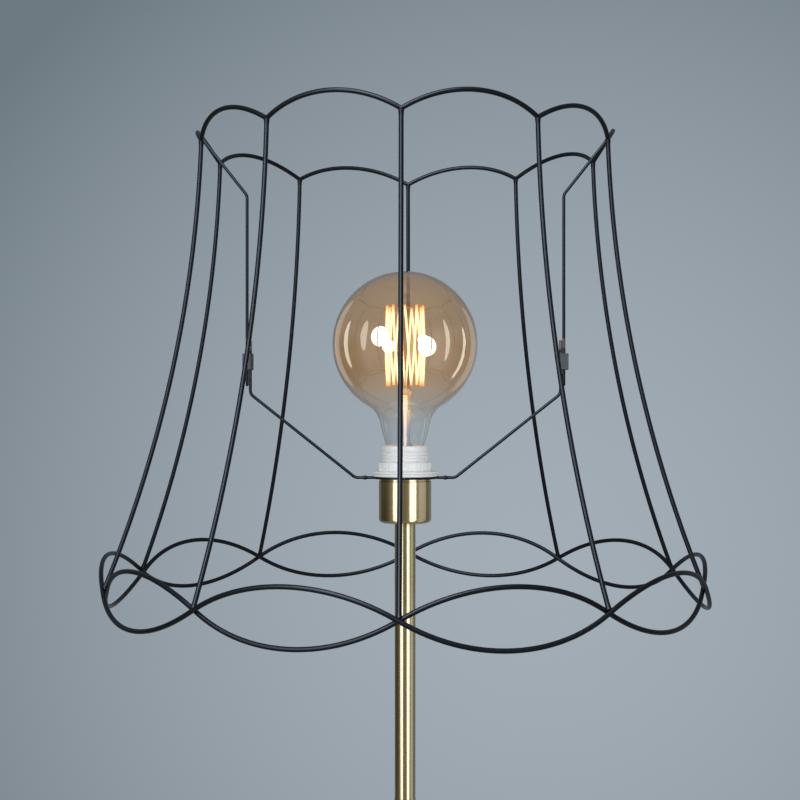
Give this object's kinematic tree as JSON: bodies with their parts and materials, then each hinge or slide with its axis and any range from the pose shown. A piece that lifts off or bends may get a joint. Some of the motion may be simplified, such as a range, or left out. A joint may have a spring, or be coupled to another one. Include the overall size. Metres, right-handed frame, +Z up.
{
  "type": "floor lamp",
  "caption": "Floor lamp with a weighted round foot, a brass pole and an open black wire cage shade round a globe bulb.",
  "frame": {"origin": "centre of the foot, on the floor", "axes": "+Z up the pole; -Y is the front, and the carrier's arms lie along X"},
  "size_m": [0.5151, 0.5156, 1.6451],
  "materials": {
    "brass": "brushed, lacquered",
    "cast_iron": "sand cast, oiled",
    "zinc_steel": "zinc plated",
    "foot_rubber": "matte",
    "gland_rubber": "matte",
    "lead_sheath": "smooth",
    "white_plastic": "satin",
    "ceramic": "glazed",
    "contact_metal": "nickel plated",
    "black_wire": "satin powder coat",
    "spring_steel": "blued",
    "amber_glass": "clear, amber tint that fades at the neck",
    "clear_glass": "clear",
    "support_wire": "drawn wire",
    "filament": "glowing",
    "dark_insulator": "glazed"
  },
  "bodies": {
    "stand": {"base_cover": "brass", "base_weight": "cast_iron", "base_plate": "zinc_steel", "base_pad": "foot_rubber", "base_screws": "zinc_steel", "foot_nipple": "zinc_steel", "foot_washer": "zinc_steel", "foot_nut": "zinc_steel", "foot_collar": "brass", "cord_gland": "gland_rubber", "inner_lead": "lead_sheath", "pole_lower": "brass", "coupler_lower": "brass", "pole_middle": "brass", "coupler_upper": "brass", "pole_upper": "brass", "holder_cup": "brass", "top_nipple": "zinc_steel", "top_nut": "zinc_steel", "holder_cap": "white_plastic", "holder_shell": "white_plastic", "contact_block": "ceramic", "screw_shell": "contact_metal", "centre_contact": "contact_metal", "terminal_screws": "zinc_steel"},
    "carrier": {"carrier_ring": "black_wire", "carrier_arm_left": "black_wire", "carrier_arm_right": "black_wire", "clamp_sleeve_left": "black_wire", "clamp_sleeve_right": "black_wire", "clamp_spring_left": "spring_steel", "clamp_spring_right": "spring_steel"},
    "cage": {"hanger_left": "black_wire", "hanger_right": "black_wire", "top_ring": "black_wire", "bottom_wave_a": "black_wire", "bottom_wave_b": "black_wire", "rib_01": "black_wire", "rib_02": "black_wire", "rib_03": "black_wire", "rib_04": "black_wire", "rib_05": "black_wire", "rib_06": "black_wire", "rib_07": "black_wire", "rib_08": "black_wire", "rib_09": "black_wire", "rib_10": "black_wire"},
    "nut_seat": {"slip_washer": "white_plastic"},
    "nut": {"shade_nut": "white_plastic"},
    "bulb_seat": {"tip_contact": "contact_metal"},
    "bulb": {"bulb_glass": "amber_glass", "bulb_stem": "clear_glass", "filament_hooks": "support_wire", "bulb_filament": "filament", "lead_in_wires": "support_wire", "bulb_cap": "contact_metal", "cap_insulator": "dark_insulator"}
  },
  "joints": [
    {"name": "shade_turn", "type": "hinge", "parent": "stand", "child": "carrier", "pos_m": [0, 0, 1.3479], "axis": [0, 0, 1], "continuous": true},
    {"name": "shade_height", "type": "slide", "parent": "carrier", "child": "cage", "axis": [0, 0, 1], "range_m": [-0.12, 0.01]},
    {"name": "nut_rise", "type": "slide", "parent": "stand", "child": "nut_seat", "axis": [0, 0, 1], "range_m": [0, 0.0201]},
    {"name": "nut_turn", "type": "hinge", "parent": "nut_seat", "child": "nut", "pos_m": [0, 0, 1.3549], "axis": [0, 0, 1], "range_deg": [0, 2880]},
    {"name": "bulb_rise", "type": "slide", "parent": "stand", "child": "bulb_seat", "axis": [0, 0, 1], "range_m": [0, 0.0111]},
    {"name": "bulb_turn", "type": "hinge", "parent": "bulb_seat", "child": "bulb", "pos_m": [0, 0, 1.3602], "axis": [0, 0, 1], "range_deg": [0, 1080]}
  ],
  "couplings": [
    {"joint": "nut_rise", "follows": "nut_turn", "m_per_rad": 0.00039789},
    {"joint": "bulb_rise", "follows": "bulb_turn", "m_per_rad": 0.00057757}
  ]
}
